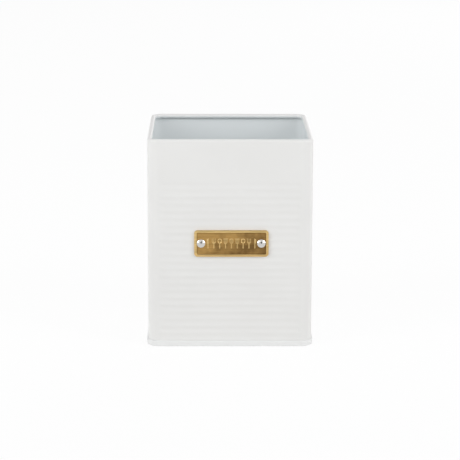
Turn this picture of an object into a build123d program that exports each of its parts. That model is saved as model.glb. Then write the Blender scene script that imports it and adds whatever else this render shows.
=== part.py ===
"""An open-top square utensil pot of coated sheet steel, with a riveted brass label plate.

Millimetres. The origin is the middle of the pot's footprint, on the surface it stands on.
+Z is up, +X is to the right and -Y is the front, where the label is.
"""

import os
from math import acos, sin

from build123d import *

os.makedirs("parts", exist_ok=True)

# Size of the pot, over the flat outside faces of the wall
pot_width = 120.0
pot_depth = 120.0
pot_height = 153.5
corner_radius = 8.8
sheet = 0.3

# Pressed grooves: as many as fit between the bottom seam and the plain band at the top
groove_above_seam = 3.2
groove_pitch = 5.37
groove_depth = 0.2
plain_band = 30.0

# Rim curl
curl_diameter = 3.4
curl_turn = 300

# Upright weld at the middle of the back
weld_width = 1.6
weld_rise = 0.1
weld_end_gap = 0.3

# Bottom seam, where the edges of the wall and the base hook into each other
seam_height = 4.0
seam_gap = 0.02
seam_corner = 0.5
hook_end_gap = 0.2

# Base panel: a channel along the wall, then a step up to the flat middle
base_recess = 4.4
base_bend = 0.8
base_channel_width = 3.0
base_step_run = 1.4
base_step_rise = 1.0
base_step_bend = 0.5
base_ledge = 1.0

# Label plate
label_width = 54.0
label_height = 19.7
label_corner = 2.5
label_thickness = 0.5
label_border_width = 1.7
label_border_rise = 0.35
label_border_slope = 30
label_edge_round = 0.2
label_x = 0.9
label_z = 77.2

# Row of raised motifs on the label
motif_pitch = 4.25
motif_height = 7.5
motif_rise = 0.25
head_height = 3.9
head_width = 3.2
stroke = 0.75
handle_width = 1.0
blade_width = 1.6

# Rivets
rivet_spacing = 43.8
rivet_row_shift = -0.15
head_diameter = 6.0
head_rise = 1.3
head_edge = 0.25
shank_diameter = 3.0
bore_diameter = 1.7
bore_depth = 1.9
roll_diameter = 4.8
roll_height = 0.8

# Clearances
rivet_hole_clearance = 0.05
crest_gap = 0.02

# Places that follow from the sizes above. In the wall's section, distances out are measured
# from the flat outside face of the wall.
half_width = pot_width / 2
half_depth = pot_depth / 2
layer = sheet + seam_gap
wall_middle = -sheet / 2
base_middle_inside = wall_middle - layer
base_middle_hook = wall_middle + layer
wall_middle_hook = wall_middle + 2 * layer
base_middle_outside = wall_middle + 3 * layer
wall_fold = sheet + seam_gap + layer + sheet / 2
base_fold = seam_height - layer - sheet / 2
crest = groove_depth / 2
groove_radius = (groove_pitch / 2) ** 2 / (8 * crest) + crest / 2
blend_length = 2 * groove_radius * sin(acos(1 - crest / 2 / groove_radius))
lowest_groove = seam_height + groove_above_seam
groove_room = pot_height - plain_band - blend_length - lowest_groove
grooves = [lowest_groove + groove_pitch * i for i in range(1 + int(groove_room / groove_pitch))]
label_back = half_depth + crest + crest_gap
label_field = label_back + label_thickness
label_front = label_field + label_border_rise
rivet_row_x = label_x + rivet_row_shift
rivet_hole_radius = shank_diameter / 2 + rivet_hole_clearance
rivet_grip = label_field - half_depth + sheet + crest + crest_gap


def front_plane(x, distance):
    """A plane facing the front at the label's height, its own x to the right and its own y up."""
    return Plane(origin=(x, -distance, label_z), x_dir=(1, 0, 0), z_dir=(0, -1, 0))


# The wall's section stands at the middle of the back: its own x runs outwards from the flat
# outside face of the wall, and its own y runs up from the standing surface
section_plane = Plane(origin=(0, half_depth, 0), x_dir=(0, 1, 0), z_dir=(1, 0, 0))

# Every rolled or folded edge follows this line round the outside of the wall
with BuildLine() as round_the_wall:
    FilletPolyline(
        (0, half_depth),
        (half_width, half_depth),
        (half_width, -half_depth),
        (0, -half_depth),
        radius=corner_radius,
    )
    mirror(about=Plane.YZ)


def grooved_line(middle):
    """The pressed stretch of the wall from its top end down, as arcs that run into each other."""
    inset = middle - crest / 2
    top, bottom = grooves[-1], grooves[0]
    ends = [(middle, top + blend_length), (inset, top + blend_length / 2)]
    for groove in reversed(grooves[1:]):
        ends += [(middle, groove - groove_pitch / 4), (middle, groove - groove_pitch * 3 / 4)]
    ends += [(inset, bottom - blend_length / 2), (middle, bottom - blend_length)]
    for i, (start, end) in enumerate(zip(ends, ends[1:])):
        RadiusArc(start, end, groove_radius if i % 2 else -groove_radius)


# Wall: one sheet from the rim curl down to the free end of its hook in the bottom seam
with BuildPart() as body_wall:
    with BuildSketch(section_plane):
        with BuildLine():
            curl_centre = (-curl_diameter / 2, pot_height - curl_diameter / 2)
            curl = CenterArc(curl_centre, (curl_diameter - sheet) / 2, 0, curl_turn)
            Line(curl @ 0, (wall_middle, grooves[-1] + blend_length))
            grooved_line(wall_middle)
            Line((wall_middle, grooves[0] - blend_length), (wall_middle, wall_fold))
            CenterArc((base_middle_hook, wall_fold), layer, 180, 180)
            Line((wall_middle_hook, wall_fold), (wall_middle_hook, base_fold - hook_end_gap))
            offset(amount=sheet / 2, side=Side.BOTH)
        make_face()
    sweep(path=round_the_wall.wire())
    with BuildSketch(section_plane.offset(-weld_width / 2)):
        with BuildLine():
            weld_top = pot_height - curl_diameter - weld_end_gap
            Line((wall_middle, weld_top), (wall_middle, grooves[-1] + blend_length))
            grooved_line(wall_middle)
            Line((wall_middle, grooves[0] - blend_length), (wall_middle, seam_height + weld_end_gap))
            offset(amount=sheet / 2 + weld_rise, side=Side.LEFT)
        make_face()
    extrude(amount=weld_width)
    with Locations(front_plane(rivet_row_x, label_back)):
        with GridLocations(rivet_spacing, 0, 2, 1):
            Hole(rivet_hole_radius, depth=rivet_grip)
body_wall.part.label = "body_wall"
export_step(body_wall.part, "parts/body_wall.step")

# Base: its edge runs under the wall's hook, up outside it and down behind it
with BuildPart() as base_panel:
    channel_middle = base_recess + sheet / 2
    panel_middle = channel_middle + base_step_rise
    step_foot = base_middle_inside - base_channel_width
    step_top = step_foot - base_step_run
    ledge_end = step_top - base_ledge
    with BuildSketch(section_plane):
        with BuildLine():
            Line((base_middle_hook, wall_fold + hook_end_gap), (base_middle_hook, base_fold))
            CenterArc((wall_middle_hook, base_fold), layer, 0, 180)
            FilletPolyline(
                (base_middle_outside, base_fold),
                (base_middle_outside, sheet / 2),
                (base_middle_inside, sheet / 2),
                (base_middle_inside, channel_middle),
                (step_foot, channel_middle),
                (step_top, panel_middle),
                (ledge_end, panel_middle),
                radius=[
                    seam_corner - sheet / 2,
                    seam_corner - sheet / 2,
                    base_bend,
                    base_step_bend,
                    base_step_bend,
                ],
            )
            offset(amount=sheet / 2, side=Side.BOTH)
        make_face()
    sweep(path=round_the_wall.wire())
    with BuildSketch(Plane.XY.offset(panel_middle - sheet / 2)):
        RectangleRounded(
            pot_width + 2 * ledge_end, pot_depth + 2 * ledge_end, corner_radius + ledge_end
        )
    extrude(amount=sheet)
base_panel.part.label = "base_panel"
export_step(base_panel.part, "parts/base_panel.step")

# The motifs are kitchen tools standing upright, each with its head above a slim handle
head_middle = motif_height / 2 - head_height / 2
head_foot = motif_height / 2 - head_height
handle_length = motif_height - head_height + stroke
handle_middle = -motif_height / 2 + handle_length / 2


def handle(x):
    with Locations((x, handle_middle)):
        SlotOverall(handle_length, handle_width, rotation=90)


def spoon(x):
    handle(x)
    with Locations((x, head_middle)):
        Ellipse(head_width / 2, head_height / 2)


def fork(x):
    handle(x)
    prong_step = (head_width - stroke) / 2
    with Locations((x, head_foot + stroke)):
        RectangleRounded(head_width, 2 * stroke, stroke / 2)
    with Locations((x, head_middle)):
        with GridLocations(prong_step, 0, 3, 1):
            SlotOverall(head_height, stroke / 2, rotation=90)


def turner(x):
    handle(x)
    with Locations((x, head_middle)):
        RectangleRounded(head_width, head_height, stroke / 2)
        with GridLocations(2 * stroke, 0, 2, 1):
            SlotOverall(head_height - 2 * stroke, stroke / 2, rotation=90, mode=Mode.SUBTRACT)


def knife(x):
    handle(x)
    with Locations((x, head_middle)):
        SlotOverall(head_height, blade_width, rotation=90)


def whisk(x):
    with Locations((x, head_middle)):
        Ellipse(head_width / 2, head_height / 2)
        Ellipse(head_width / 2 - stroke / 2, head_height / 2 - stroke / 2, mode=Mode.SUBTRACT)
        SlotOverall(head_height, stroke / 2, rotation=90)
    handle(x)


motifs = [knife, fork, spoon, turner, whisk, turner, spoon, fork, knife]

# Label: a plate with a sunk field, so that its border stands proud
with BuildPart() as label_plate:
    with BuildSketch(front_plane(label_x, label_back)):
        RectangleRounded(label_width, label_height, label_corner)
    extrude(amount=label_front - label_back)
    fillet(label_plate.faces().sort_by(Axis.Y)[0].edges(), label_edge_round)
    with BuildSketch(front_plane(label_x, label_front)):
        RectangleRounded(
            label_width - 2 * label_border_width,
            label_height - 2 * label_border_width,
            label_corner - label_border_width,
        )
    extrude(amount=-label_border_rise, taper=label_border_slope, mode=Mode.SUBTRACT)
    with BuildSketch(front_plane(label_x, label_field)):
        for i, motif in enumerate(motifs):
            motif((i - (len(motifs) - 1) / 2) * motif_pitch)
    extrude(amount=motif_rise)
    with Locations(front_plane(rivet_row_x, label_front)):
        with GridLocations(rivet_spacing, 0, 2, 1):
            Hole(rivet_hole_radius)
label_plate.part.label = "label_plate"
export_step(label_plate.part, "parts/label_plate.step")

# Rivets: a domed head on the label, a shank, and a hollow end rolled outwards inside the wall
for name, side in (("rivet_left", -1), ("rivet_right", 1)):
    rivet_x = rivet_row_x + side * rivet_spacing / 2
    axis_plane = Plane(origin=(rivet_x, -label_field, label_z), x_dir=(1, 0, 0), z_dir=(0, 0, -1))
    head_radius = head_diameter / 2
    shank_radius = shank_diameter / 2
    bore_radius = bore_diameter / 2
    roll_radius = roll_diameter / 2
    roll_end = -rivet_grip - roll_height
    roll_bend = roll_height / 2
    with BuildPart() as rivet:
        with BuildSketch(axis_plane):
            with BuildLine():
                dome_rise = head_rise - head_edge
                dome_radius = (head_radius**2 + dome_rise**2) / (2 * dome_rise)
                RadiusArc((0, head_rise), (head_radius, head_edge), dome_radius)
                Polyline(
                    (head_radius, head_edge),
                    (head_radius, 0),
                    (shank_radius, 0),
                    (shank_radius, -rivet_grip),
                    (roll_radius - roll_bend, -rivet_grip),
                )
                roll_middle = roll_end + roll_bend
                CenterArc((roll_radius - roll_bend, roll_middle), roll_bend, 90, -180)
                Line((roll_radius - roll_bend, roll_end), (bore_radius + roll_bend, roll_end))
                CenterArc((bore_radius + roll_bend, roll_middle), roll_bend, 270, -90)
                Polyline(
                    (bore_radius, roll_middle),
                    (bore_radius, roll_end + bore_depth),
                    (0, roll_end + bore_depth),
                    (0, head_rise),
                )
            make_face()
        revolve(axis=Axis((rivet_x, -label_field, label_z), (0, -1, 0)))
    rivet.part.label = name
    export_step(rivet.part, f"parts/{name}.step")
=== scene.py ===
"""The looks of an open-top square utensil pot of enamelled sheet steel, with a riveted brass label.

Metres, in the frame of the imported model: the origin is the middle of the pot's footprint, on the
surface it stands on, +Z is up and -Y is the front, where the label is.
"""

from math import acos, asin, atan2, copysign, cos, degrees, hypot, pi, radians, sin, tan

import bmesh
import bpy
from mathutils import Matrix, Vector


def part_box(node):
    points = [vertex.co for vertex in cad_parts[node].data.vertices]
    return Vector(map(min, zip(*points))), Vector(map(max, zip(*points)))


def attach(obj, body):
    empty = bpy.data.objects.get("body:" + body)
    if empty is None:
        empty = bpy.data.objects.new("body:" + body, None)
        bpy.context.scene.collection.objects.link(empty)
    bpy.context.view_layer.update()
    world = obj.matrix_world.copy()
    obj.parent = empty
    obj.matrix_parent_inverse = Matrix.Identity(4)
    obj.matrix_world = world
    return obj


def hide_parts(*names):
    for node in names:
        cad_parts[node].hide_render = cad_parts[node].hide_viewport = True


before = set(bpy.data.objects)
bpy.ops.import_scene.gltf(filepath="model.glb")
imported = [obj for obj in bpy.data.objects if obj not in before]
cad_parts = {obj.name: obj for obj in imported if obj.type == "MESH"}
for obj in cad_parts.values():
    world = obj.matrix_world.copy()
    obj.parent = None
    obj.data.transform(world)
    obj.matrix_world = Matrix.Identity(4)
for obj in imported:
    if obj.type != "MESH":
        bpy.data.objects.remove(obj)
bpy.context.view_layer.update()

mm = 0.001

# Points nearer than this are one point, heights nearer than this are one level, and a face whose
# normal lies this much along an axis faces it
same_place = 0.001 * mm
same_level = 0.01 * mm
squarely = 0.9

# Sheet metal, as the pot's maker would set it, and the steps that its bends are drawn in
sheet = 0.3 * mm
seam_gap = 0.02 * mm
layer = sheet + seam_gap
corner_radius = 8.8 * mm
corner_steps = 18
side_steps = 3
seam_height = 4.0 * mm
seam_corner = 0.5 * mm
seam_corner_steps = 5
hook_end_gap = 0.2 * mm
wall_hook_steps = 8
base_hook_steps = 10

# The pot's size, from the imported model
base_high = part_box("base_panel")[1]
wall_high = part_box("body_wall")[1]
pot_height = wall_high.z
half_width = base_high.x - 3 * layer
half_depth = base_high.y - 3 * layer
straight_x = half_width - corner_radius
straight_y = half_depth - corner_radius

# Rim curl
curl_diameter = 3.4 * mm
curl_turn = 300
curl_steps = 25

# Pressed grooves, which run out beside each corner and are gone a little way into its bend
lowest_groove = 7.2 * mm
groove_pitch = 5.37 * mm
groove_depth = 0.2 * mm
groove_count = 22
groove_steps = 5
groove_end_steps = 3
run_out = 2.3 * mm
run_out_in_bend = 0.8 * mm
run_out_on_side = run_out - run_out_in_bend

# Upright weld at the middle of the back
weld_width = 1.6 * mm
weld_rise = 0.1 * mm
weld_end_gap = 0.3 * mm

# Base panel: a channel along the seam, then a step up to the flat middle
base_recess = 4.4 * mm
base_bend = 0.8 * mm
base_bend_steps = 6
base_channel_width = 3.0 * mm
base_step_run = 1.4 * mm
base_step_rise = 1.0 * mm
base_step_bend = 0.5 * mm
base_step_bend_steps = 4
base_middle_margin = 0.8 * mm

# Label plate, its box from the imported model
label_low, label_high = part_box("label_plate")
label_middle = (label_low + label_high) / 2
label_width = label_high.x - label_low.x
label_height = label_high.z - label_low.z
label_corner = 2.5 * mm
label_corner_steps = 8
label_crease = 28
border_width = 1.7 * mm
border_rise = 0.35 * mm
border_slope = 30
border_slope_run = border_rise * tan(radians(border_slope))
edge_round = 0.2 * mm
edge_round_steps = 3
label_front = label_low.y
label_field = label_front + border_rise
label_back = label_high.y

# Motifs on the label
motif_pitch = 4.25 * mm
motif_height = 7.5 * mm
motif_rise = 0.25 * mm
motif_root = 0.15 * mm
head_height = 3.9 * mm
head_width = 3.2 * mm
fork_width = 2.9 * mm
turner_width = 3.1 * mm
handle_width = 1.0 * mm
neck_width = 0.75 * mm
neck_end_gap = 0.1 * mm
blade_width = 1.6 * mm
wire = 0.36 * mm
shoulder = 0.12 * mm
bowl_depth = 0.17 * mm
bowl_slope = 0.28 * mm
slot_depth = 0.2 * mm
slot_slope = 0.03 * mm
wire_slope = 0.05 * mm

# Rivets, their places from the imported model
rivet_middles = [sum(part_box(node), Vector()) / 2 for node in ("rivet_left", "rivet_right")]
head_radius = 3.0 * mm
head_rise = 1.3 * mm
head_edge = 0.25 * mm
head_edge_round = 0.1 * mm
shank_radius = 1.5 * mm
hole_radius = 1.55 * mm
bore_radius = 0.85 * mm
bore_depth = 1.9 * mm
roll_radius = 2.4 * mm
roll_height = 0.8 * mm
rivet_grip = -label_field - half_depth + sheet + groove_depth + seam_gap
rivet_crease = 30
dome_steps = 12
roll_steps = 8
bore_steps = 5
round_steps = 48
wall_drill_depth = 3 * sheet
drill_overrun = 1.0 * mm


# Handling of pieces, as at the modelling table


def take(piece):
    """Makes a piece the only one selected."""
    bpy.ops.object.select_all(action="DESELECT")
    piece.select_set(True)
    bpy.context.view_layer.objects.active = piece


def edit(piece):
    take(piece)
    bpy.ops.object.mode_set(mode="EDIT")


def leave_edit():
    bpy.ops.object.mode_set(mode="OBJECT")


def pick(piece, kind, test):
    """In edit mode, selects the points, edges or faces that pass a test, and nothing else."""
    bpy.ops.mesh.select_mode(type=kind)
    bpy.ops.mesh.select_all(action="DESELECT")
    mesh = bmesh.from_edit_mesh(piece.data)
    for element in {"VERT": mesh.verts, "EDGE": mesh.edges, "FACE": mesh.faces}[kind]:
        if test(element):
            element.select_set(True)
    mesh.select_flush_mode()
    bmesh.update_edit_mesh(piece.data)


def name_it(piece, name):
    piece.name = piece.data.name = name
    return piece


def set_down(piece):
    """Puts the object at the origin, unturned and unscaled, with its place in its mesh."""
    take(piece)
    bpy.ops.object.transform_apply(location=True, rotation=True, scale=True)


def apply(piece, modifier):
    take(piece)
    bpy.ops.object.modifier_apply(modifier=modifier.name)


def join(pieces):
    take(pieces[0])
    for piece in pieces:
        piece.select_set(True)
    bpy.ops.object.join()
    return pieces[0]


def clean(piece):
    """Merges doubled points and turns every face outwards."""
    edit(piece)
    bpy.ops.mesh.select_all(action="SELECT")
    bpy.ops.mesh.remove_doubles(threshold=same_place)
    bpy.ops.mesh.normals_make_consistent(inside=False)
    leave_edit()


def smooth(piece, crease=35):
    """Shades a piece smooth, apart from the edges that turn by more degrees than its crease."""
    take(piece)
    bpy.ops.object.shade_smooth_by_angle(angle=radians(crease))


def combine(piece, tool, operation):
    """Joins a second closed shape to a piece, or cuts it out, and uses it up."""
    step = piece.modifiers.new(operation.lower(), "BOOLEAN")
    step.operation = operation
    step.solver = "EXACT"
    step.object = tool
    apply(piece, step)
    bpy.data.objects.remove(tool)


def add_card(name, middle, width, height):
    """A flat upright rectangle that faces the front."""
    bpy.ops.object.select_all(action="DESELECT")
    bpy.ops.mesh.primitive_plane_add(size=1, location=middle, rotation=(pi / 2, 0, 0))
    card = name_it(bpy.context.object, name)
    card.scale = (width, height, 1)
    set_down(card)
    return card


def drill_rivet_holes(piece, front, back):
    """Cuts the two rivet holes through a piece, from one y to another."""
    for middle in rivet_middles:
        bpy.ops.object.select_all(action="DESELECT")
        bpy.ops.mesh.primitive_cylinder_add(
            vertices=round_steps,
            radius=hole_radius,
            depth=back - front,
            location=(middle.x, (front + back) / 2, middle.z),
            rotation=(pi / 2, 0, 0),
        )
        drill = bpy.context.object
        set_down(drill)
        combine(piece, drill, "DIFFERENCE")


# Drawing a section as one line of points


def start_line(name, place):
    """A new piece in edit mode that is one selected point."""
    bpy.ops.object.select_all(action="DESELECT")
    bpy.ops.mesh.primitive_plane_add(size=mm)
    piece = name_it(bpy.context.object, name)
    bpy.ops.object.mode_set(mode="EDIT")
    bpy.ops.mesh.select_mode(type="VERT")
    bpy.ops.mesh.select_all(action="SELECT")
    bpy.ops.mesh.merge(type="CENTER")
    bpy.ops.transform.translate(value=place)
    return piece


def draw_to(piece, place):
    """Draws the line on straight to a place."""
    mesh = bmesh.from_edit_mesh(piece.data)
    end = next(point.co.copy() for point in mesh.verts if point.select)
    bpy.ops.mesh.extrude_region_move(TRANSFORM_OT_translate={"value": Vector(place) - end})


def draw_round(centre, angle, steps):
    """Draws the line on round a centre, by degrees from +Y towards +Z."""
    bpy.ops.mesh.spin(steps=steps, angle=radians(angle), center=centre, axis=(-1, 0, 0))


# The wall and the base are sheets, drawn as the sheet's middle line. Their section stands at the
# middle of the back, its distances measured outwards from the wall's flat outside face.
wall_middle = -sheet / 2
hook_middle = wall_middle + layer
wall_hook_middle = wall_middle + 2 * layer
base_outside_middle = wall_middle + 3 * layer
base_inside_middle = wall_middle - layer
wall_fold = sheet + seam_gap + layer + sheet / 2
base_fold = seam_height - layer - sheet / 2


def at(out, up):
    """A place on the section."""
    return Vector((0, half_depth + out, up))


def sweep_round_the_pot(piece):
    """Carries the drawn section from the middle of the back to the middle of the front, with a
    short run on each side of a corner, over which the grooves can run out."""
    def run(x, y, steps):
        for _ in range(steps):
            bpy.ops.mesh.extrude_region_move(
                TRANSFORM_OT_translate={"value": (x / steps, y / steps, 0)}
            )

    def corner(y):
        bpy.ops.mesh.spin(
            steps=corner_steps, angle=pi / 2, center=(straight_x, y, 0), axis=(0, 0, 1)
        )

    bpy.ops.mesh.select_all(action="SELECT")
    run(weld_width / 2, 0, 1)
    run(straight_x - weld_width / 2 - run_out_on_side, 0, side_steps)
    run(run_out_on_side, 0, 1)
    corner(straight_y)
    run(0, -run_out_on_side, 1)
    run(0, 2 * (run_out_on_side - straight_y), 2 * side_steps)
    run(0, -run_out_on_side, 1)
    corner(-straight_y)
    run(-run_out_on_side, 0, 1)
    run(run_out_on_side - straight_x, 0, side_steps)
    leave_edit()


def mirror_half(piece):
    mirror = piece.modifiers.new("other_half", "MIRROR")
    mirror.merge_threshold = same_place
    apply(piece, mirror)


def thicken(piece):
    wall = piece.modifiers.new("sheet", "SOLIDIFY")
    wall.thickness = sheet
    wall.offset = 0
    wall.use_even_offset = True
    apply(piece, wall)


def draw_grooves(piece):
    """The pressed stretch of the wall from its top end down: arcs that run into each other, the
    lands between the grooves level with the plain sheet."""
    arc_chord = groove_pitch / 2
    arc_depth = groove_depth / 2
    # The radius of the circle through an arc of this chord and depth
    radius = arc_chord**2 / (8 * arc_depth) + arc_depth / 2
    half_arc = degrees(asin(arc_chord / 2 / radius))
    land_centre = wall_middle - radius
    groove_centre = wall_middle - groove_depth + radius
    land = lowest_groove + groove_pitch * (groove_count - 0.5)
    draw_to(piece, at(wall_middle, land))
    draw_round(at(land_centre, land), -half_arc, groove_end_steps)
    for left in reversed(range(groove_count)):
        groove = lowest_groove + groove_pitch * left
        land = groove - groove_pitch / 2
        draw_round(at(groove_centre, groove), 2 * half_arc, groove_steps)
        if left:
            draw_round(at(land_centre, land), -2 * half_arc, groove_steps)
        else:
            draw_round(at(land_centre, land), -half_arc, groove_end_steps)


def corner_points(piece, low, high):
    """Gives each point in a rounded corner between two heights, with its distance from the corner's
    centre and its turn round the corner."""
    for point in piece.data.vertices:
        out_x = abs(point.co.x) - straight_x
        out_y = abs(point.co.y) - straight_y
        if min(out_x, out_y) > -same_place and low < point.co.z < high:
            yield point, hypot(out_x, out_y), atan2(out_y, out_x)


def move_out(point, turn, distance):
    """Moves a corner's point away from the corner's centre."""
    point.co.x += copysign(distance * cos(turn), point.co.x)
    point.co.y += copysign(distance * sin(turn), point.co.y)


def end_grooves_at_corners(piece):
    """Lets the grooves run out where the corners begin, so that the bends are left plain."""
    plain = corner_radius - sheet / 2
    for point, radius, turn in corner_points(piece, seam_height, pot_height - curl_diameter):
        into_bend = corner_radius * min(turn, pi / 2 - turn)
        lost = min(1, (into_bend + run_out_on_side) / run_out)
        move_out(point, turn, (plain - radius) * lost)


def pucker_corners(piece):
    """Squeezes the rim's curl at the corners, where rolling a tight bend gathers the sheet in
    pleats, and fades this out towards the ends of the quarter turn."""
    squeeze = 0.4 * mm
    drop = 0.25 * mm
    pleat = 0.3 * mm
    pleats = 3
    curl_bottom = pot_height - curl_diameter
    for point, radius, turn in corner_points(piece, curl_bottom - sheet, pot_height):
        across = turn - pi / 4
        inwards = (corner_radius - radius) / curl_diameter
        fade = cos(2 * across)
        gather = inwards * fade * (squeeze + pleat * cos(across * 4 * pleats))
        move_out(point, turn, gather)
        point.co.z -= drop * fade * inwards


def make_wall():
    curl = at(-curl_diameter / 2, pot_height - curl_diameter / 2)
    curl_radius = (curl_diameter - sheet) / 2
    end = radians(curl_turn)
    free_end = curl + curl_radius * Vector((0, cos(end), sin(end)))
    weld_top = pot_height - curl_diameter - weld_end_gap
    weld_bottom = seam_height + weld_end_gap
    wall = start_line("enamelled_wall", free_end)
    draw_round(curl, -curl_turn, curl_steps)
    draw_to(wall, at(wall_middle, weld_top))
    draw_grooves(wall)
    draw_to(wall, at(wall_middle, weld_bottom))
    draw_to(wall, at(wall_middle, wall_fold))
    draw_round(at(hook_middle, wall_fold), 180, wall_hook_steps)
    draw_to(wall, at(wall_hook_middle, base_fold - hook_end_gap))
    sweep_round_the_pot(wall)
    mirror_half(wall)
    clean(wall)
    end_grooves_at_corners(wall)
    pucker_corners(wall)
    thicken(wall)
    raise_weld(wall, weld_bottom, weld_top)
    drill_rivet_holes(wall, label_back, -half_depth + wall_drill_depth)
    smooth(wall)
    return wall


def raise_weld(wall, bottom, top):
    """Lifts the strip at the middle of the back where the sheet's two ends are welded."""
    def on_weld(face):
        middle = face.calc_center_median()
        return (
            face.normal.y > squarely
            and middle.y > half_depth - sheet / 2
            and abs(middle.x) < weld_width / 2
            and bottom < middle.z < top
        )

    edit(wall)
    pick(wall, "FACE", on_weld)
    bpy.ops.mesh.inset(thickness=weld_rise, depth=weld_rise)
    leave_edit()


def make_base():
    bottom = sheet / 2
    corner = seam_corner - sheet / 2
    channel = base_recess + sheet / 2
    panel = channel + base_step_rise
    slope = atan2(base_step_rise, base_step_run)
    tangent = base_step_bend * tan(slope / 2)
    step_foot = base_inside_middle - base_channel_width
    step_top = step_foot - base_step_run
    base = start_line("enamelled_base", at(hook_middle, wall_fold + hook_end_gap))
    draw_to(base, at(hook_middle, base_fold))
    draw_round(at(wall_hook_middle, base_fold), -180, base_hook_steps)
    draw_to(base, at(base_outside_middle, bottom + corner))
    draw_round(at(base_outside_middle - corner, bottom + corner), -90, seam_corner_steps)
    draw_to(base, at(base_inside_middle + corner, bottom))
    draw_round(at(base_inside_middle + corner, bottom + corner), -90, seam_corner_steps)
    draw_to(base, at(base_inside_middle, channel - base_bend))
    draw_round(at(base_inside_middle - base_bend, channel - base_bend), 90, base_bend_steps)
    draw_to(base, at(step_foot + tangent, channel))
    foot_centre = at(step_foot + tangent, channel + base_step_bend)
    draw_round(foot_centre, -degrees(slope), base_step_bend_steps)
    along = Vector((0, tangent * cos(slope), -tangent * sin(slope)))
    draw_to(base, at(step_top, panel) + along)
    top_centre = at(step_top - tangent, panel - base_step_bend)
    draw_round(top_centre, degrees(slope), base_step_bend_steps)
    sweep_round_the_pot(base)
    mirror_half(base)
    clean(base)
    close_middle(base, channel)
    thicken(base)
    smooth(base)
    return base


def close_middle(base, channel):
    """Fills the open middle of the base above its channel with one flat face and its margin."""
    def on_inner_edge(edge):
        return edge.is_boundary and edge.verts[0].co.z > channel

    edit(base)
    pick(base, "EDGE", on_inner_edge)
    bpy.ops.mesh.edge_face_add()
    bpy.ops.mesh.inset(thickness=base_middle_margin)
    bpy.ops.mesh.select_all(action="SELECT")
    bpy.ops.mesh.normals_make_consistent(inside=False)
    leave_edit()


# The label is stamped brass: every raised shape stands on the sunk field


def on_label(across, up, y):
    """A place by its distance across and up from the label's middle."""
    return Vector((label_middle.x + across, y, label_middle.z + up))


def raise_face(height):
    """Extrudes the selected face towards the front."""
    bpy.ops.mesh.extrude_region_move(TRANSFORM_OT_translate={"value": (0, -height, 0)})


# A motif is cut as a flat strip of rungs from the end of its handle up, then raised and worked.
# A rung is a height and half a width, or a height and two sides, measured from the label's middle.
head_middle = motif_height / 2 - head_height / 2
head_foot = motif_height / 2 - head_height
head_top = motif_height / 2


def oval_half(up):
    """Half the width of an oval head at a height."""
    rise = (up - head_middle) / (head_height / 2)
    return head_width / 2 * max(0, 1 - rise**2) ** 0.5


def handle_rungs():
    """The handle: a round end, then a slow taper to the neck."""
    end = handle_width / 2
    turns = [radians(turn) for turn in (15, 40, 65, 90)]
    round_end = [(-motif_height / 2 + end * (1 - cos(turn)), end * sin(turn)) for turn in turns]
    return [*round_end, (head_foot - neck_end_gap, neck_width / 2)]


def oval_rungs():
    """An oval head, from where it is as wide as the neck to just below its top."""
    steps = 12
    first = -degrees(acos(neck_width / head_width))
    last = 82
    turns = [radians(first + (last - first) * i / steps) for i in range(steps + 1)]
    return [
        (head_middle + head_height / 2 * sin(turn), head_width / 2 * cos(turn)) for turn in turns
    ]


def cut_strip(name, rungs, columns):
    """A flat strip in columns, pushed up and widened rung by rung."""
    foot = label_field + motif_root
    rungs = [rung if len(rung) == 3 else (rung[0], -rung[1], rung[1]) for rung in rungs]
    up, left, right = rungs[0]
    strip = start_line(name, on_label(left, up, foot))
    for i in range(1, columns + 1):
        draw_to(strip, on_label(left + (right - left) * i / columns, up, foot))
    bpy.ops.mesh.select_all(action="SELECT")
    for next_up, next_left, next_right in rungs[1:]:
        shift = (next_left + next_right - left - right) / 2
        bpy.ops.mesh.extrude_region_move(
            TRANSFORM_OT_translate={"value": (shift, 0, next_up - up)}
        )
        bpy.ops.transform.resize(
            value=((next_right - next_left) / (right - left), 1, 1),
            center_override=on_label((next_left + next_right) / 2, next_up, foot),
        )
        up, left, right = next_up, next_left, next_right
    return strip


def raise_strip(strip):
    """Raises the strip into a closed shape with sloping shoulders, its top faces selected."""
    bpy.ops.mesh.select_mode(type="FACE")
    bpy.ops.mesh.select_all(action="SELECT")
    raise_face(motif_root + motif_rise - shoulder)
    bpy.ops.mesh.inset(thickness=shoulder, depth=shoulder)


def pick_top(strip, test):
    """Selects the top faces whose middle, across and up from the label's middle, passes a test."""
    top = label_field - motif_rise + same_level

    def on_top(face):
        middle = face.calc_center_median()
        flat = abs(face.normal.y) > squarely and middle.y < top
        return flat and test(middle.x - label_middle.x, middle.z - label_middle.z)

    pick(strip, "FACE", on_top)


def sink(rim, slope, depth):
    """Presses the selected faces in, with sloping sides, inside a rim left standing round them."""
    bpy.ops.mesh.inset(thickness=rim)
    bpy.ops.mesh.inset(thickness=slope, depth=-depth)


def finish_motif(strip):
    leave_edit()
    clean(strip)
    return strip


def spoon():
    strip = cut_strip("spoon", handle_rungs() + oval_rungs(), 2)
    raise_strip(strip)
    bowl_half = 0.6 * head_width / 2
    pick_top(strip, lambda across, up: oval_half(up) > bowl_half)
    sink(wire / 2, bowl_slope, bowl_depth)
    return finish_motif(strip)


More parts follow.
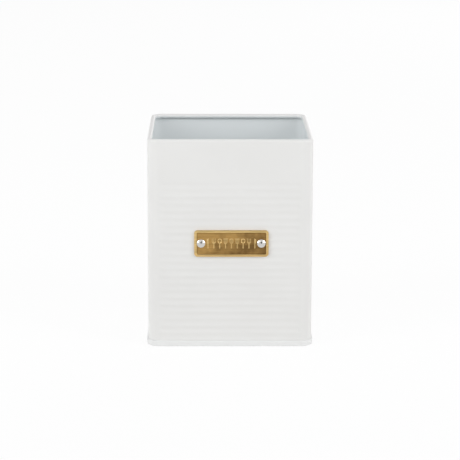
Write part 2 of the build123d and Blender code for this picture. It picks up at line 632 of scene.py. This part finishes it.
def fork():
    tines = 3
    tine_steps = 2
    columns = 2 * tines - 1
    tine = fork_width / columns
    root = head_foot + 1.1 * mm
    half = fork_width / 2
    shape = [
        (head_foot + 0.3 * mm, 0.62 * half),
        (head_foot + 0.6 * mm, 0.92 * half),
        (root, half),
    ]
    strip = cut_strip("fork", handle_rungs() + shape, columns)

    def on_tine(edge):
        middle = (edge.verts[0].co + edge.verts[1].co) / 2
        across = abs(middle.x - label_middle.x)
        over_tine = min(across, abs(across - 2 * tine)) < tine / 4
        return middle.z > label_middle.z + root - same_level and over_tine

    pick(strip, "EDGE", on_tine)
    for _ in range(tine_steps):
        bpy.ops.mesh.extrude_region_move(
            TRANSFORM_OT_translate={"value": (0, 0, (head_top - root) / tine_steps)}
        )
    raise_strip(strip)
    return finish_motif(strip)


def turner():
    slots = 3
    columns = 2 * slots + 1
    slot_low = head_foot + 0.8 * mm
    slot_high = head_top - 0.6 * mm
    half_low = 0.82 * turner_width / 2
    half_high = 0.98 * turner_width / 2
    shape = [
        (head_foot + 0.15 * mm, 0.7 * half_low),
        (head_foot + 0.4 * mm, 0.95 * half_low),
        (slot_low, half_low),
        (slot_high, half_high),
        (head_top - 0.25 * mm, turner_width / 2),
        (head_top, 0.93 * turner_width / 2),
    ]
    strip = cut_strip("turner", handle_rungs() + shape, columns)
    raise_strip(strip)
    column = (half_low + half_high) / columns

    def in_slot(across, up):
        from_slot = min(abs(across), abs(abs(across) - 2 * column))
        return slot_low < up < slot_high and from_slot < column / 4

    pick_top(strip, in_slot)
    bpy.ops.mesh.inset(thickness=slot_slope, depth=-slot_depth)
    return finish_motif(strip)


def knife():
    back = 0.35 * blade_width
    shape = [
        (head_foot + 0.1 * mm, -0.6 * blade_width, back),
        (head_foot + 0.6 * mm, -0.65 * blade_width, back),
        (head_middle + 0.6 * mm, -0.62 * blade_width, back),
        (head_top - 0.7 * mm, -0.45 * blade_width, back),
        (head_top - 0.25 * mm, -0.1 * blade_width, back),
        (head_top, 0.15 * blade_width, back),
    ]
    strip = cut_strip("knife", handle_rungs() + shape, 2)
    raise_strip(strip)
    return finish_motif(strip)


def whisk():
    columns = 4
    loop_half = 0.65 * head_width / 2
    strip = cut_strip("whisk", handle_rungs() + oval_rungs(), columns)
    raise_strip(strip)
    for column in range(columns):
        def in_column(across, up):
            half = oval_half(up)
            return half > loop_half and int((1 + across / half) * columns / 2) == column

        pick_top(strip, in_column)
        sink(wire / 2, wire_slope, slot_depth)
    return finish_motif(strip)


def make_motif_row():
    """Nine kitchen tools, each kind modelled once in the middle and copied to its places."""
    row = [knife, fork, spoon, turner, whisk, turner, spoon, fork, knife]
    to_middle = Matrix.Translation((-label_middle.x, 0, 0))
    mirrored = Matrix.Diagonal((-1, 1, 1, 1))
    made = []
    for kind in dict.fromkeys(row):
        model = kind()
        for i, wanted in enumerate(row):
            if wanted is kind:
                steps = i - (len(row) - 1) / 2
                copy = bpy.data.objects.new(f"{kind.__name__}_{i}", model.data.copy())
                bpy.context.collection.objects.link(copy)
                copy.data.transform(to_middle)
                if steps > 0:
                    copy.data.transform(mirrored)
                    copy.data.flip_normals()
                to_place = Matrix.Translation((label_middle.x + steps * motif_pitch, 0, 0))
                copy.data.transform(to_place)
                made.append(copy)
        bpy.data.objects.remove(model)
    return join(made)


def make_label():
    label = add_card("brass_label", on_label(0, 0, label_back), label_width, label_height)
    edit(label)
    bpy.ops.mesh.select_all(action="SELECT")
    bpy.ops.mesh.bevel(
        offset=label_corner, segments=label_corner_steps, affect="VERTICES", clamp_overlap=True
    )
    raise_face(label_back - label_front)
    bpy.ops.mesh.select_mode(type="FACE")
    bpy.ops.mesh.inset(thickness=border_width)
    bpy.ops.mesh.inset(thickness=border_slope_run, depth=-border_rise)

    def on_border_edge(edge):
        flat = [abs(face.normal.y) > squarely for face in edge.link_faces]
        front = all(point.co.y < label_front + same_level for point in edge.verts)
        return front and any(flat) and not all(flat)

    pick(label, "EDGE", on_border_edge)
    bpy.ops.mesh.bevel(offset=edge_round, segments=edge_round_steps)
    leave_edit()
    clean(label)
    motifs = make_motif_row()
    combine(label, motifs, "UNION")
    drill_rivet_holes(label, label_front - drill_overrun, label_back + drill_overrun)
    clean(label)
    smooth(label, label_crease)
    return label


# Rivets: semi-tubular, the head outside on the label and the hollow end rolled over inside


def make_rivets():
    left, right = rivet_middles

    def on_axis(along, radius):
        """A place on the rivet's section, by its distance in front of the label's field."""
        return Vector((left.x, label_field - along, left.z + radius))

    dome_rise = head_rise - head_edge
    dome_radius = (head_radius**2 + dome_rise**2) / (2 * dome_rise)
    dome_arc = degrees(asin(head_radius / dome_radius))
    bend = roll_height / 2
    roll_middle = -rivet_grip - bend
    bore_end = roll_middle - bend + bore_depth
    rivet = start_line("nickel_rivet_left", on_axis(head_rise, 0))
    draw_round(on_axis(head_rise - dome_radius, 0), -dome_arc, dome_steps)
    draw_to(rivet, on_axis(head_edge_round, head_radius))
    draw_to(rivet, on_axis(0, head_radius - head_edge_round))
    draw_to(rivet, on_axis(0, shank_radius))
    draw_to(rivet, on_axis(-rivet_grip, shank_radius))
    draw_to(rivet, on_axis(-rivet_grip, roll_radius - bend))
    draw_round(on_axis(roll_middle, roll_radius - bend), -180, roll_steps)
    draw_to(rivet, on_axis(roll_middle - bend, bore_radius + bend))
    draw_round(on_axis(roll_middle, bore_radius + bend), -90, bore_steps)
    draw_to(rivet, on_axis(bore_end, bore_radius))
    draw_to(rivet, on_axis(bore_end, 0))
    bpy.ops.mesh.select_all(action="SELECT")
    bpy.ops.mesh.spin(steps=round_steps, angle=2 * pi, center=on_axis(0, 0), axis=(0, 1, 0))
    leave_edit()
    clean(rivet)
    smooth(rivet, rivet_crease)
    other = bpy.data.objects.new("nickel_rivet_right", rivet.data.copy())
    other.data.name = other.name
    bpy.context.collection.objects.link(other)
    other.data.transform(Matrix.Translation(right - left))
    return rivet, other


# Materials


def paint(code):
    """The linear colour of an sRGB hex code."""
    def linear(value):
        return value / 12.92 if value <= 0.04045 else ((value + 0.055) / 1.055) ** 2.4

    levels = [int(code[i : i + 2], 16) / 255 for i in (1, 3, 5)]
    return (*map(linear, levels), 1)


def add_node(tree, kind, inputs=None, **settings):
    """Adds a node; an input given as another node's socket is linked, any other is set."""
    made = tree.nodes.new(kind)
    for name, value in settings.items():
        setattr(made, name, value)
    for name, value in (inputs or {}).items():
        if isinstance(value, bpy.types.NodeSocket):
            tree.links.new(value, made.inputs[name])
        else:
            made.inputs[name].default_value = value
    return made


def new_material(name):
    material = bpy.data.materials.new(name)
    material.use_nodes = True
    material.node_tree.nodes.clear()
    return material, material.node_tree


def up_the_pot(tree, place, low, high):
    """A mask that goes from 0 at one height to 1 at another."""
    height = add_node(tree, "ShaderNodeSeparateXYZ", {"Vector": place})
    return add_node(
        tree, "ShaderNodeMapRange",
        {"Value": height.outputs["Z"], "From Min": low, "From Max": high},
    ).outputs["Result"]


def inside_the_pot(tree, place):
    """A mask that is 1 on the inner side of the sheet, up to the turn of the rim's curl. From the
    wall's outside face, the grooves are 0.2 mm deep and the inner side lies at 0.3 mm."""
    enamel_depth = 0.75 * sheet
    lacquer_depth = 0.9 * sheet
    lacquer_top = pot_height - 0.3 * curl_diameter
    plan = add_node(tree, "ShaderNodeVectorMath", {0: place, 1: (1, 1, 0)}, operation="MULTIPLY")
    mirrored = add_node(tree, "ShaderNodeVectorMath", {0: plan.outputs[0]}, operation="ABSOLUTE")
    past_straight = add_node(
        tree, "ShaderNodeVectorMath", {0: mirrored.outputs[0], 1: (straight_x, straight_y, 0)},
        operation="SUBTRACT",
    )
    outwards = add_node(
        tree, "ShaderNodeVectorMath", {0: past_straight.outputs[0], 1: (0, 0, 0)},
        operation="MAXIMUM",
    )
    distance = add_node(tree, "ShaderNodeVectorMath", {0: outwards.outputs[0]}, operation="LENGTH")
    inner_side = add_node(
        tree, "ShaderNodeMapRange",
        {
            "Value": distance.outputs["Value"],
            "From Min": corner_radius - lacquer_depth,
            "From Max": corner_radius - enamel_depth,
            "To Min": 1.0,
            "To Max": 0.0,
        },
    )
    below_curl = up_the_pot(tree, place, lacquer_top, lacquer_top - curl_diameter / 2)
    return add_node(
        tree, "ShaderNodeMath", {0: inner_side.outputs[0], 1: below_curl}, operation="MULTIPLY"
    ).outputs[0]


def baked_enamel(name, colour, thin_and_shaded_colour, lacquer_and_shade_tint):
    """Sheet steel sprayed and baked: an even off-white satin with a faint orange peel outside, in
    tones that vary a little at random, with painted shade that darkens the top of the rim's curl,
    and a cooler, slightly smoother inner coat inside the pot, whose cool tint is partly real and
    partly painted shade."""
    cloud_size = 45 * mm
    peel_size = 1.1 * mm
    peel_relief = 0.006 * mm
    cloud_share = 0.5
    satin_least, satin_most = 0.34, 0.42
    lacquer_roughness = 0.3
    material, tree = new_material(name)
    place = add_node(tree, "ShaderNodeTexCoord").outputs["Object"]
    cloud = add_node(
        tree, "ShaderNodeTexNoise", {"Vector": place, "Scale": 1 / cloud_size, "Detail": 2.0}
    )
    # Painted shade: the top of the rim's curl is darkened towards the thin tone
    crest_shade = up_the_pot(tree, place, pot_height - curl_diameter / 2, pot_height)
    thinness_and_crest_shade = add_node(
        tree, "ShaderNodeMath", {0: cloud.outputs["Fac"], 1: cloud_share, 2: crest_shade},
        operation="MULTIPLY_ADD",
    )
    outside = add_node(
        tree, "ShaderNodeMix",
        {"Factor": thinness_and_crest_shade.outputs[0], "A": paint(colour), "B": paint(thin_and_shaded_colour)},
        data_type="RGBA",
        clamp_factor=False,
    )
    inside = inside_the_pot(tree, place)
    # The inner coat's colour inside the pot, whose cool tint is partly painted shade
    tone = add_node(
        tree, "ShaderNodeMix",
        {"Factor": inside, "A": outside.outputs["Result"], "B": paint(lacquer_and_shade_tint)},
        data_type="RGBA",
    )
    peel = add_node(
        tree, "ShaderNodeTexNoise", {"Vector": place, "Scale": 1 / peel_size, "Detail": 1.0}
    )
    bump = add_node(
        tree, "ShaderNodeBump",
        {"Height": peel.outputs["Fac"], "Distance": peel_relief, "Strength": 1.0},
    )
    satin = add_node(
        tree, "ShaderNodeMapRange",
        {"Value": cloud.outputs["Fac"], "To Min": satin_least, "To Max": satin_most},
    )
    rough = add_node(
        tree, "ShaderNodeMix",
        {"Factor": inside, "A": satin.outputs["Result"], "B": lacquer_roughness},
        data_type="FLOAT",
    )
    shader = add_node(
        tree, "ShaderNodeBsdfPrincipled",
        {
            "Base Color": tone.outputs["Result"],
            "Roughness": rough.outputs["Result"],
            "Normal": bump.outputs["Normal"],
            "IOR": 1.5,
        },
    )
    add_node(tree, "ShaderNodeOutputMaterial", {"Surface": shader.outputs[0]})
    return material


def set_stops(ramp, stops):
    """Sets a colour ramp's stops, each a position and a grey level."""
    elements = ramp.color_ramp.elements
    while len(elements) < len(stops):
        elements.new(1.0)
    for element, (position, level) in zip(elements, stops):
        element.position = position
        element.color = (level, level, level, 1)


def past_the_field(tree, from_middle):
    """How far a place on the label lies outside the edge of the sunk field."""
    mirrored = add_node(
        tree, "ShaderNodeVectorMath", {0: from_middle.outputs[0]}, operation="ABSOLUTE"
    )
    edge = border_width + border_slope_run
    past_field = add_node(
        tree, "ShaderNodeVectorMath",
        {0: mirrored.outputs[0], 1: (label_width / 2 - edge, 0, label_height / 2 - edge)},
        operation="SUBTRACT",
    )
    split = add_node(tree, "ShaderNodeSeparateXYZ", {"Vector": past_field.outputs[0]})
    return add_node(
        tree, "ShaderNodeMath", {0: split.outputs["X"], 1: split.outputs["Z"]}, operation="MAXIMUM"
    ).outputs[0]


def brushed_brass():
    """Stamped brass with a level brush grain, cleaned by wear on its border and motifs, with a
    painted highlight on the motifs' shoulders and painted light that lightens the border upwards
    and the field towards its upper left. Its field is patinated brown in blotches, and grimy along
    the border's foot, where painted shade darkens it too."""
    brown, clean_brass, grime_and_shade = paint("#80633A"), paint("#BE985B"), paint("#4A3820")
    # Painted light: the border's tones in shade and in light
    dull, bright = paint("#D7B478"), paint("#EBCC8C")
    border_from, border_to = 0.1 * mm, 0.3 * mm
    grime_and_shade_reach = 0.7 * mm
    grime_and_shade_cover = 0.6
    patch_size = 8 * mm
    patch_place = (1.7, 0.4, 0.9)
    patch_least, patch_most = 0.3, 0.7
    # Painted light: how fast the field gets lighter towards its upper left, and the border lighter
    # upwards
    field_light_lean = (-0.006 / mm, 0, 0.006 / mm)
    border_light_lean = (-0.005 / mm, 0, 0.036 / mm)
    # Real brush strokes are about 0.1 mm wide, too fine to show, so they are drawn 1 mm wide
    stroke_length, stroke_depth, stroke_width = 14 * mm, 3 * mm, 1.0 * mm
    stroke_relief = 0.008 * mm
    stroke_least, stroke_most = 0.55, 1.4
    field_roughness, worn_roughness = 0.44, 0.3

    material, tree = new_material("brushed_brass")
    place = add_node(tree, "ShaderNodeTexCoord").outputs["Object"]
    from_middle = add_node(
        tree, "ShaderNodeVectorMath", {0: place, 1: label_middle}, operation="SUBTRACT"
    )
    split = add_node(tree, "ShaderNodeSeparateXYZ", {"Vector": place})
    height = add_node(
        tree, "ShaderNodeMapRange",
        {"Value": split.outputs["Y"], "From Min": label_field, "From Max": label_front},
    )
    rubbed_and_highlit = add_node(tree, "ShaderNodeValToRGB", {"Fac": height.outputs["Result"]})
    # How far wear has cleaned the brass by its height, from the field over the motifs up to the
    # border; the peak on the motifs' shoulders, above their tops, is a painted highlight
    motif_top = motif_rise / border_rise
    set_stops(rubbed_and_highlit, [
        (0.0, 0.0),
        (0.5 * motif_top, 0.15),
        (0.7 * motif_top, 1.0),
        (0.88 * motif_top, 1.0),
        (0.97 * motif_top, 0.92),
        (1.06 * motif_top, 0.92),
        (0.92, 1.0),
    ])
    outside_field = past_the_field(tree, from_middle)
    on_border = add_node(
        tree, "ShaderNodeMapRange",
        {"Value": outside_field, "From Min": border_from, "From Max": border_to},
    )
    worn_and_highlit = add_node(
        tree, "ShaderNodeMath", {0: rubbed_and_highlit.outputs["Color"], 1: on_border.outputs["Result"]},
        operation="MAXIMUM",
    )
    # Grime and painted shade: the field darkens towards the foot of the border
    dirt_and_shade = add_node(
        tree, "ShaderNodeMapRange",
        {
            "Value": outside_field,
            "From Min": -grime_and_shade_reach,
            "From Max": border_from,
            "To Max": grime_and_shade_cover,
        },
    )
    stroke_place = add_node(
        tree, "ShaderNodeMapping",
        {"Vector": place, "Scale": (1 / stroke_length, 1 / stroke_depth, 1 / stroke_width)},
    )
    grain = add_node(
        tree, "ShaderNodeTexNoise",
        {
            "Vector": stroke_place.outputs["Vector"],
            "Scale": 1.0,
            "Detail": 4.0,
            "Roughness": 0.65,
        },
    )
    moved = add_node(tree, "ShaderNodeMapping", {"Vector": place, "Location": patch_place})
    cloud = add_node(
        tree, "ShaderNodeTexNoise",
        {"Vector": moved.outputs["Vector"], "Scale": 1 / patch_size, "Detail": 3.0},
    )
    # Painted light: the field's patina is lightened towards its upper left
    field_light_share = add_node(
        tree, "ShaderNodeVectorMath", {0: from_middle.outputs[0], 1: field_light_lean},
        operation="DOT_PRODUCT",
    )
    lean = add_node(
        tree, "ShaderNodeMath", {0: cloud.outputs["Fac"], 1: field_light_share.outputs["Value"]},
        operation="ADD",
    )
    patina_and_light = add_node(
        tree, "ShaderNodeMapRange",
        {"Value": lean.outputs[0], "From Min": patch_least, "From Max": patch_most},
    )
    browned_and_lit = add_node(
        tree, "ShaderNodeMix",
        {"Factor": patina_and_light.outputs["Result"], "A": brown, "B": clean_brass},
        data_type="RGBA",
    )
    field = add_node(
        tree, "ShaderNodeMix",
        {"Factor": dirt_and_shade.outputs["Result"], "A": browned_and_lit.outputs["Result"], "B": grime_and_shade},
        data_type="RGBA",
    )
    # Painted light: the border is lightened upwards
    border_light = add_node(
        tree, "ShaderNodeVectorMath", {0: from_middle.outputs[0], 1: border_light_lean},
        operation="DOT_PRODUCT",
    )
    border_light_share = add_node(
        tree, "ShaderNodeMapRange",
        {"Value": border_light.outputs["Value"], "From Min": -0.5, "From Max": 0.5},
    )
    border_lit_and_shaded = add_node(
        tree, "ShaderNodeMix", {"Factor": border_light_share.outputs["Result"], "A": dull, "B": bright},
        data_type="RGBA",
    )
    tone = add_node(
        tree, "ShaderNodeMix",
        {
            "Factor": worn_and_highlit.outputs[0],
            "A": field.outputs["Result"],
            "B": border_lit_and_shaded.outputs["Result"],
        },
        data_type="RGBA",
    )
    strokes = add_node(
        tree, "ShaderNodeMapRange",
        {"Value": grain.outputs["Fac"], "To Min": stroke_least, "To Max": stroke_most},
    )
    colour = add_node(
        tree, "ShaderNodeMix",
        {"Factor": 1.0, "A": tone.outputs["Result"], "B": strokes.outputs["Result"]},
        data_type="RGBA",
        blend_type="MULTIPLY",
    )
    bump = add_node(
        tree, "ShaderNodeBump",
        {"Height": grain.outputs["Fac"], "Distance": stroke_relief, "Strength": 1.0},
    )
    rough = add_node(
        tree, "ShaderNodeMapRange",
        {"Value": worn_and_highlit.outputs[0], "To Min": field_roughness, "To Max": worn_roughness},
    )
    shader = add_node(
        tree, "ShaderNodeBsdfPrincipled",
        {
            "Base Color": colour.outputs["Result"],
            "Metallic": 1.0,
            "Roughness": rough.outputs["Result"],
            "Normal": bump.outputs["Normal"],
        },
    )
    add_node(tree, "ShaderNodeOutputMaterial", {"Surface": shader.outputs[0]})
    return material


def polished_nickel():
    """Nickel plate polished bright over steel: a clear mirror with a faint warm cast, a little
    hazed by handling."""
    haze_size = 0.9 * mm
    clear_roughness, hazed_roughness = 0.08, 0.16
    material, tree = new_material("polished_nickel")
    place = add_node(tree, "ShaderNodeTexCoord").outputs["Object"]
    haze = add_node(
        tree, "ShaderNodeTexNoise", {"Vector": place, "Scale": 1 / haze_size, "Detail": 3.0}
    )
    rough = add_node(
        tree, "ShaderNodeMapRange",
        {"Value": haze.outputs["Fac"], "To Min": clear_roughness, "To Max": hazed_roughness},
    )
    shader = add_node(
        tree, "ShaderNodeBsdfPrincipled",
        {"Base Color": paint("#CFCDC9"), "Metallic": 1.0, "Roughness": rough.outputs["Result"]},
    )
    add_node(tree, "ShaderNodeOutputMaterial", {"Surface": shader.outputs[0]})
    return material


def give(piece, material):
    piece.data.materials.clear()
    piece.data.materials.append(material)


# The studio: a pale paper floor, soft light from all round and a camera at the photograph's angle.
# Its sizes are in metres and its lamps in watts.
floor_size = 30
flag_middle = (0, -0.7, 0.26)
flag_width = 0.42
flag_height = 0.5
stand_middle = (0, -0.66, 0.4)
stand_width = 0.22
stand_height = 0.78
bleach_share = 0.92
fill_strength = 0.61
white = (1, 1, 1, 1)

# Name, middle, width, height and power of each softbox
softboxes = (
    ("key_left", (-1.85, -1.1, 0.9), 1.1, 1.5, 20.5),
    ("key_right", (1.85, -1.1, 0.9), 1.1, 1.5, 19.5),
    ("front", (0, -1.9, 1.5), 1.2, 0.6, 6.0),
    ("back", (0.9, 2.2, 0.9), 1.2, 1.2, 5.0),
)


def seen_directly(tree, path):
    """A mask that is 1 for what the camera or a mirror sees."""
    return add_node(
        tree, "ShaderNodeMath",
        {0: path.outputs["Is Camera Ray"], 1: path.outputs["Is Glossy Ray"]},
        operation="MAXIMUM",
    ).outputs[0]


def white_paper():
    """Matt white paper. The camera and mirrors see it bleached, with its shadows kept faint."""
    material, tree = new_material("white_paper")
    path = add_node(tree, "ShaderNodeLightPath")
    seen = seen_directly(tree, path)
    colour = add_node(
        tree, "ShaderNodeMix", {"Factor": seen, "A": paint("#E9E8E5"), "B": white},
        data_type="RGBA",
    )
    paper = add_node(tree, "ShaderNodeBsdfDiffuse", {"Color": colour.outputs["Result"]})
    bleach = add_node(tree, "ShaderNodeEmission", {"Color": white, "Strength": 1.0})
    share = add_node(tree, "ShaderNodeMath", {0: seen, 1: bleach_share}, operation="MULTIPLY")
    shader = add_node(
        tree, "ShaderNodeMixShader",
        {0: share.outputs[0], 1: paper.outputs[0], 2: bleach.outputs[0]},
    )
    add_node(tree, "ShaderNodeOutputMaterial", {"Surface": shader.outputs[0]})
    return material


def matt_card(name, colour):
    """A plain matt surface for the studio's own cards, such as felt or dark paint."""
    material, tree = new_material(name)
    shader = add_node(tree, "ShaderNodeBsdfDiffuse", {"Color": paint(colour)})
    add_node(tree, "ShaderNodeOutputMaterial", {"Surface": shader.outputs[0]})
    return material


def lay_floor():
    bpy.ops.object.select_all(action="DESELECT")
    bpy.ops.mesh.primitive_plane_add(size=floor_size)
    floor = name_it(bpy.context.object, "floor")
    give(floor, white_paper())


def hang_flag():
    """A felt flag in front of the pot, which keeps the room's flat light from filling the grooves.
    Neither the camera nor a mirror sees it."""
    flag = add_card("flag", flag_middle, flag_width, flag_height)
    give(flag, matt_card("grey_felt", "#7C7C7C"))
    flag.visible_camera = False
    flag.visible_glossy = False


def stand_the_camera():
    """The camera's dark stand. Only what shines mirrors it: it is the upright dark smear in the
    polished rivets, and it takes no light from the pot."""
    stand = add_card("stand", stand_middle, stand_width, stand_height)
    give(stand, matt_card("dark_paint", "#303236"))
    stand.visible_camera = False
    stand.visible_diffuse = False
    stand.visible_shadow = False


def add_softbox(name, place, width, height, power):
    """A rectangular soft white light that faces the middle of the pot."""
    light = bpy.data.lights.new(name, "AREA")
    light.shape = "RECTANGLE"
    light.size = width
    light.size_y = height
    light.energy = power
    lamp = bpy.data.objects.new(name, light)
    lamp.location = place
    aim = Vector((0, 0, pot_height / 2)) - Vector(place)
    lamp.rotation_euler = aim.to_track_quat("-Z", "Y").to_euler()
    lamp.visible_camera = False
    bpy.context.collection.objects.link(lamp)


def light_studio():
    """A pale room that camera, mirrors and glass see as white, and the softboxes."""
    world = bpy.data.worlds.new("studio")
    bpy.context.scene.world = world
    world.use_nodes = True
    tree = world.node_tree
    tree.nodes.clear()
    path = add_node(tree, "ShaderNodeLightPath")
    seen = add_node(
        tree, "ShaderNodeMath",
        {0: seen_directly(tree, path), 1: path.outputs["Is Transmission Ray"]},
        operation="MAXIMUM",
    )
    fill = add_node(
        tree, "ShaderNodeBackground", {"Color": paint("#F8F9FA"), "Strength": fill_strength}
    )
    plain = add_node(tree, "ShaderNodeBackground", {"Color": white, "Strength": 1.0})
    mix = add_node(
        tree, "ShaderNodeMixShader",
        {0: seen.outputs[0], 1: fill.outputs[0], 2: plain.outputs[0]},
    )
    add_node(tree, "ShaderNodeOutputWorld", {"Surface": mix.outputs[0]})
    for softbox in softboxes:
        add_softbox(*softbox)


# The camera, fitted to the photograph's 460 by 460 frame
frame_px = 460
focal_px = 1930.0
sensor_width = 36
far_clip = 50
camera_aim = Vector((0.56, 0, 73.9)) * mm
camera_distance = 1459.7 * mm
camera_elevation = 12.43
camera_azimuth = -0.675
camera_roll = 0.163


def place_camera():
    optics = bpy.data.cameras.new("camera")
    optics.sensor_width = sensor_width
    optics.lens = sensor_width * focal_px / frame_px
    optics.clip_end = far_clip
    camera = bpy.data.objects.new("camera", optics)
    camera.matrix_world = (
        Matrix.Translation(camera_aim)
        @ Matrix.Rotation(radians(camera_azimuth), 4, "Z")
        @ Matrix.Rotation(radians(90 - camera_elevation), 4, "X")
        @ Matrix.Rotation(radians(camera_roll), 4, "Z")
        @ Matrix.Translation((0, 0, camera_distance))
    )
    bpy.context.collection.objects.link(camera)
    bpy.context.scene.camera = camera


wall = make_wall()
base = make_base()
label = make_label()
rivet_left, rivet_right = make_rivets()

# The wall's thin tone also paints shade on the top of the rim
give(wall, baked_enamel("baked_enamel_wall", "#EAEAE9", "#DFDEDD", "#E8ECED"))
give(base, baked_enamel("baked_enamel_base", "#EAEBEB", "#E8E8E8", "#E8ECED"))
give(label, brushed_brass())
nickel = polished_nickel()
give(rivet_left, nickel)
give(rivet_right, nickel)

for piece, node, slot in (
    (wall, "body_wall", "coated_steel_wall"),
    (base, "base_panel", "coated_steel_base"),
    (label, "label_plate", "brass_label"),
    (rivet_left, "rivet_left", "plated_rivet"),
    (rivet_right, "rivet_right", "plated_rivet"),
):
    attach(piece, "root")
    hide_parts(node)

lay_floor()
hang_flag()
stand_the_camera()
light_studio()
place_camera()
bpy.context.scene.view_settings.view_transform = "Standard"
